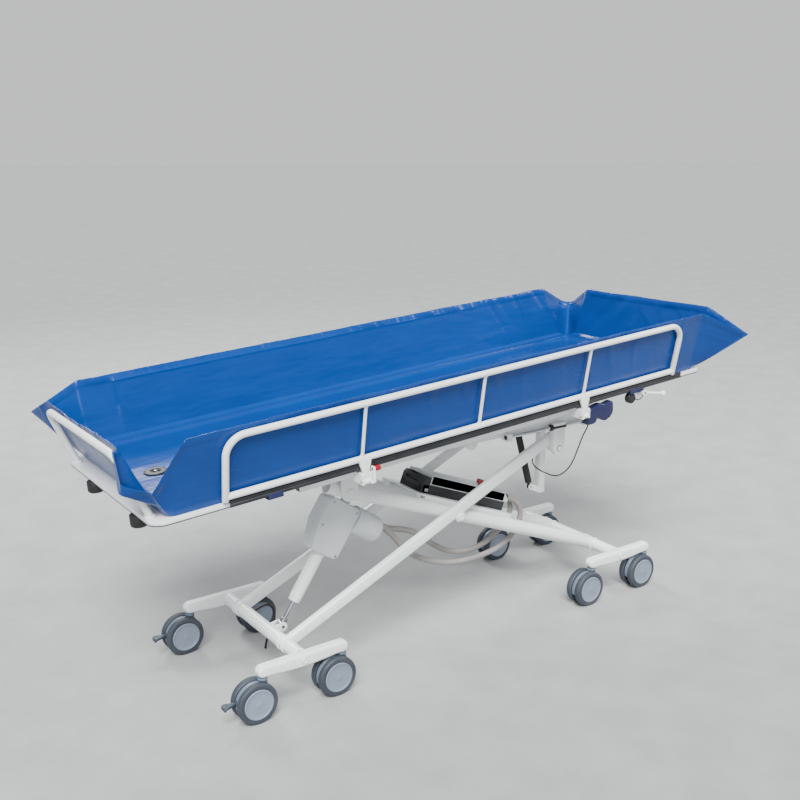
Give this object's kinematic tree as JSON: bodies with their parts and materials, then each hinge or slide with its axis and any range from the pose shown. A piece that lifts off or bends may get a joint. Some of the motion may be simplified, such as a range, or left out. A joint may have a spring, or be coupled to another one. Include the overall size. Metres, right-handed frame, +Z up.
{
  "type": "shower trolley",
  "caption": "Height-adjustable shower trolley: a long tub liner with drain and folding side rails on a tilting board, over a scissor frame with rocking castor bogies.",
  "frame": {"origin": "on the floor below the middle of the trolley's outline", "axes": "+X towards the head end, +Z up, -Y the near side with the hand control"},
  "size_m": [2.2564, 0.872, 1.0295],
  "materials": {
    "white_paint": "satin powder coat",
    "chrome": "polished",
    "grey_plastic": "satin",
    "dark_plastic": "satin",
    "hood_plastic": "satin",
    "wheel_rubber": "matte",
    "red_plastic": "gloss",
    "liner_cloth": "coated, satin",
    "black_rubber": "matte",
    "conduit_plastic": "matte",
    "navy_plastic": "satin",
    "board_laminate": "satin laminate",
    "edge_trim": "satin"
  },
  "bodies": {
    "bogie_foot_near": {"bogie_beam_foot_near": "white_paint"},
    "castor_foot_near_outer": {"castor_hood_foot_near_outer": "hood_plastic"},
    "wheels_foot_near_outer": {"wheel_pair_foot_near_outer": "wheel_rubber"},
    "castor_foot_near_inner": {"castor_hood_foot_near_inner": "hood_plastic"},
    "wheels_foot_near_inner": {"wheel_pair_foot_near_inner": "wheel_rubber"},
    "bogie_head_near": {"bogie_beam_head_near": "white_paint"},
    "castor_head_near_outer": {"castor_hood_head_near_outer": "hood_plastic"},
    "wheels_head_near_outer": {"wheel_pair_head_near_outer": "wheel_rubber"},
    "castor_head_near_inner": {"castor_hood_head_near_inner": "hood_plastic"},
    "wheels_head_near_inner": {"wheel_pair_head_near_inner": "wheel_rubber"},
    "pedal_near": {"brake_pedal_near": "hood_plastic"},
    "bogie_foot_far": {"bogie_beam_foot_far": "white_paint"},
    "castor_foot_far_outer": {"castor_hood_foot_far_outer": "hood_plastic"},
    "wheels_foot_far_outer": {"wheel_pair_foot_far_outer": "wheel_rubber"},
    "castor_foot_far_inner": {"castor_hood_foot_far_inner": "hood_plastic"},
    "wheels_foot_far_inner": {"wheel_pair_foot_far_inner": "wheel_rubber"},
    "bogie_head_far": {"bogie_beam_head_far": "white_paint"},
    "castor_head_far_outer": {"castor_hood_head_far_outer": "hood_plastic"},
    "wheels_head_far_outer": {"wheel_pair_head_far_outer": "wheel_rubber"},
    "castor_head_far_inner": {"castor_hood_head_far_inner": "hood_plastic"},
    "wheels_head_far_inner": {"wheel_pair_head_far_inner": "wheel_rubber"},
    "pedal_far": {"brake_pedal_far": "hood_plastic"},
    "outer_arms": {"arm_frame_outer": "white_paint", "earth_lead": "dark_plastic"},
    "inner_arms": {"arm_frame_inner": "white_paint", "control_box": "grey_plastic", "conduit_outer": "conduit_plastic", "conduit_inner": "conduit_plastic"},
    "actuator": {"actuator_housing": "grey_plastic", "actuator_motor": "grey_plastic"},
    "actuator_rod": {"actuator_piston": "chrome"},
    "battery": {"battery_pack": "dark_plastic"},
    "stop_knob": {"stop_knob": "red_plastic"},
    "upper_frame": {"upper_frame": "white_paint", "slide_rod_near": "chrome", "slide_rod_far": "chrome", "hand_control_cable": "dark_plastic"},
    "slider_near": {"slider_near": "white_paint"},
    "slider_far": {"slider_far": "white_paint"},
    "spring_cylinder": {"spring_cylinder": "dark_plastic"},
    "spring_rod": {"spring_rod": "chrome"},
    "tray": {"tray_frame": "white_paint", "tray_board": "board_laminate", "edge_rail_near": "edge_trim", "edge_rail_far": "edge_trim", "end_rail_foot": "white_paint", "end_rail_head": "white_paint", "liner": "liner_cloth", "drain_fitting": "black_rubber", "buffer_near": "black_rubber", "buffer_far": "black_rubber", "release_bracket": "white_paint", "cable_clamp": "black_rubber"},
    "side_rail_near": {"side_rail_near": "white_paint"},
    "latch_near": {"latch_knob_near": "red_plastic"},
    "side_rail_far": {"side_rail_far": "white_paint"},
    "latch_far": {"latch_knob_far": "red_plastic"},
    "release_lever": {"release_lever": "white_paint"},
    "hand_control": {"hand_control": "navy_plastic"}
  },
  "joints": [
    {"name": "swivel_foot_near_outer", "type": "hinge", "parent": "bogie_foot_near", "child": "castor_foot_near_outer", "pos_m": [-0.7341, -0.252, 0.1], "axis": [0, 0, 1], "continuous": true},
    {"name": "roll_foot_near_outer", "type": "hinge", "parent": "castor_foot_near_outer", "child": "wheels_foot_near_outer", "pos_m": [-0.76209, -0.252, 0.0613], "axis": [0, 1, 0], "continuous": true},
    {"name": "swivel_foot_near_inner", "type": "hinge", "parent": "bogie_foot_near", "child": "castor_foot_near_inner", "pos_m": [-0.46909, -0.252, 0.1], "axis": [0, 0, 1], "continuous": true},
    {"name": "roll_foot_near_inner", "type": "hinge", "parent": "castor_foot_near_inner", "child": "wheels_foot_near_inner", "pos_m": [-0.4971, -0.252, 0.0613], "axis": [0, 1, 0], "continuous": true},
    {"name": "swivel_head_near_outer", "type": "hinge", "parent": "bogie_head_near", "child": "castor_head_near_outer", "pos_m": [0.84091, -0.252, 0.1], "axis": [0, 0, 1], "continuous": true},
    {"name": "roll_head_near_outer", "type": "hinge", "parent": "castor_head_near_outer", "child": "wheels_head_near_outer", "pos_m": [0.8129, -0.252, 0.0613], "axis": [0, 1, 0], "continuous": true},
    {"name": "swivel_head_near_inner", "type": "hinge", "parent": "bogie_head_near", "child": "castor_head_near_inner", "pos_m": [0.57591, -0.252, 0.1], "axis": [0, 0, 1], "continuous": true},
    {"name": "roll_head_near_inner", "type": "hinge", "parent": "castor_head_near_inner", "child": "wheels_head_near_inner", "pos_m": [0.5479, -0.252, 0.0613], "axis": [0, 1, 0], "continuous": true},
    {"name": "pedal_near_press", "type": "hinge", "parent": "castor_foot_near_outer", "child": "pedal_near", "pos_m": [-0.8161, -0.252, 0.0703], "axis": [0, -1, 0], "range_deg": [0, 10]},
    {"name": "swivel_foot_far_outer", "type": "hinge", "parent": "bogie_foot_far", "child": "castor_foot_far_outer", "pos_m": [-0.7341, 0.252, 0.1], "axis": [0, 0, 1], "continuous": true},
    {"name": "roll_foot_far_outer", "type": "hinge", "parent": "castor_foot_far_outer", "child": "wheels_foot_far_outer", "pos_m": [-0.76209, 0.252, 0.0613], "axis": [0, 1, 0], "continuous": true},
    {"name": "swivel_foot_far_inner", "type": "hinge", "parent": "bogie_foot_far", "child": "castor_foot_far_inner", "pos_m": [-0.46909, 0.252, 0.1], "axis": [0, 0, 1], "continuous": true},
    {"name": "roll_foot_far_inner", "type": "hinge", "parent": "castor_foot_far_inner", "child": "wheels_foot_far_inner", "pos_m": [-0.4971, 0.252, 0.0613], "axis": [0, 1, 0], "continuous": true},
    {"name": "swivel_head_far_outer", "type": "hinge", "parent": "bogie_head_far", "child": "castor_head_far_outer", "pos_m": [0.84091, 0.252, 0.1], "axis": [0, 0, 1], "continuous": true},
    {"name": "roll_head_far_outer", "type": "hinge", "parent": "castor_head_far_outer", "child": "wheels_head_far_outer", "pos_m": [0.8129, 0.252, 0.0613], "axis": [0, 1, 0], "continuous": true},
    {"name": "swivel_head_far_inner", "type": "hinge", "parent": "bogie_head_far", "child": "castor_head_far_inner", "pos_m": [0.57591, 0.252, 0.1], "axis": [0, 0, 1], "continuous": true},
    {"name": "roll_head_far_inner", "type": "hinge", "parent": "castor_head_far_inner", "child": "wheels_head_far_inner", "pos_m": [0.5479, 0.252, 0.0613], "axis": [0, 1, 0], "continuous": true},
    {"name": "pedal_far_press", "type": "hinge", "parent": "castor_foot_far_outer", "child": "pedal_far", "pos_m": [-0.8161, 0.252, 0.0703], "axis": [0, -1, 0], "range_deg": [0, 10]},
    {"name": "lift", "type": "hinge", "parent": "bogie_foot_near", "child": "outer_arms", "pos_m": [-0.60159, 0, 0.146], "axis": [0, -1, 0], "range_deg": [-1, 10], "deforming": ["conduit_outer", "conduit_inner"]},
    {"name": "bogie_foot_far_rock", "type": "hinge", "parent": "outer_arms", "child": "bogie_foot_far", "pos_m": [-0.60159, 0, 0.146], "axis": [0, -1, 0], "range_deg": [-10, 1]},
    {"name": "scissor", "type": "hinge", "parent": "outer_arms", "child": "inner_arms", "pos_m": [0.05341, 0, 0.408], "axis": [0, -1, 0], "range_deg": [-20, 2]},
    {"name": "bogie_head_near_rock", "type": "hinge", "parent": "inner_arms", "child": "bogie_head_near", "pos_m": [0.7084, 0, 0.146], "axis": [0, -1, 0], "range_deg": [-1, 10]},
    {"name": "bogie_head_far_rock", "type": "hinge", "parent": "inner_arms", "child": "bogie_head_far", "pos_m": [0.7084, 0, 0.146], "axis": [0, -1, 0], "range_deg": [-1, 10]},
    {"name": "frame_hinge", "type": "hinge", "parent": "inner_arms", "child": "upper_frame", "pos_m": [-0.35977, 0, 0.57327], "axis": [0, -1, 0], "range_deg": [-1, 10]},
    {"name": "slider_near_hinge", "type": "hinge", "parent": "outer_arms", "child": "slider_near", "pos_m": [0.46658, 0, 0.57327], "axis": [0, -1, 0], "range_deg": [-10, 1]},
    {"name": "slider_far_hinge", "type": "hinge", "parent": "outer_arms", "child": "slider_far", "pos_m": [0.46658, 0, 0.57327], "axis": [0, -1, 0], "range_deg": [-10, 1]},
    {"name": "actuator_hinge", "type": "hinge", "parent": "inner_arms", "child": "actuator", "pos_m": [-0.30629, -0.045, 0.52387], "axis": [0, -1, 0], "range_deg": [-2.19, 21.91]},
    {"name": "actuator_stroke", "type": "slide", "parent": "actuator", "child": "actuator_rod", "axis": [-0.563, 0, -0.8265], "range_m": [-0.01302, 0.13011]},
    {"name": "tilt", "type": "hinge", "parent": "upper_frame", "child": "tray", "pos_m": [0.0704, 0, 0.666], "axis": [0, -1, 0], "range_deg": [-3.5, 2.5], "deforming": ["hand_control_cable"]},
    {"name": "spring_hinge", "type": "hinge", "parent": "upper_frame", "child": "spring_cylinder", "pos_m": [0.44558, -0.06, 0.405], "axis": [0, -1, 0], "range_deg": [-0.52, 0.73]},
    {"name": "spring_stroke", "type": "slide", "parent": "spring_cylinder", "child": "spring_rod", "axis": [-0.2754, 0, 0.9613], "range_m": [-0.01759, 0.01257]},
    {"name": "battery_slide", "type": "slide", "parent": "inner_arms", "child": "battery", "axis": [-0.9285, 0, 0.3714], "range_m": [0, 0.08]},
    {"name": "stop_press", "type": "slide", "parent": "inner_arms", "child": "stop_knob", "axis": [-0.3714, 0, -0.9285], "range_m": [0, 0.0045]},
    {"name": "side_rail_near_fold", "type": "hinge", "parent": "tray", "child": "side_rail_near", "pos_m": [-0.00689, -0.346, 0.70629], "axis": [0.9981, 0, 0.061], "range_deg": [0, 150]},
    {"name": "latch_near_pull", "type": "slide", "parent": "tray", "child": "latch_near", "axis": [0.9981, 0, 0.061], "range_m": [0, 0.006], "stiffness_N_per_m": 600},
    {"name": "side_rail_far_fold", "type": "hinge", "parent": "tray", "child": "side_rail_far", "pos_m": [-0.00689, 0.346, 0.70629], "axis": [-0.9981, 0, -0.061], "range_deg": [0, 150]},
    {"name": "latch_far_pull", "type": "slide", "parent": "tray", "child": "latch_far", "axis": [0.9981, 0, 0.061], "range_m": [0, 0.006], "stiffness_N_per_m": 600},
    {"name": "release_lever_pull", "type": "hinge", "parent": "tray", "child": "release_lever", "pos_m": [0.71598, -0.326, 0.76322], "axis": [0, -1, 0], "range_deg": [0, 11], "stiffness_Nm_per_rad": 1.2, "springref_deg": -8.59},
    {"name": "hand_control_take", "type": "slide", "parent": "tray", "child": "hand_control", "axis": [0, -1, 0], "range_m": [0, 0.12]}
  ],
  "couplings": [
    {"joint": "bogie_foot_far_rock", "follows": "lift", "ratio": -1},
    {"joint": "scissor", "follows": "lift", "ratio": -2},
    {"joint": "bogie_head_near_rock", "follows": "lift", "ratio": 1},
    {"joint": "bogie_head_far_rock", "follows": "lift", "ratio": 1},
    {"joint": "frame_hinge", "follows": "lift", "ratio": 1},
    {"joint": "slider_near_hinge", "follows": "lift", "ratio": -1},
    {"joint": "slider_far_hinge", "follows": "lift", "ratio": -1},
    {"joint": "actuator_hinge", "follows": "lift", "ratio": 2.1905},
    {"joint": "actuator_stroke", "follows": "lift", "m_per_rad": 0.74544},
    {"joint": "spring_hinge", "follows": "tilt", "ratio": -0.20706},
    {"joint": "spring_stroke", "follows": "tilt", "m_per_rad": 0.28787}
  ]
}
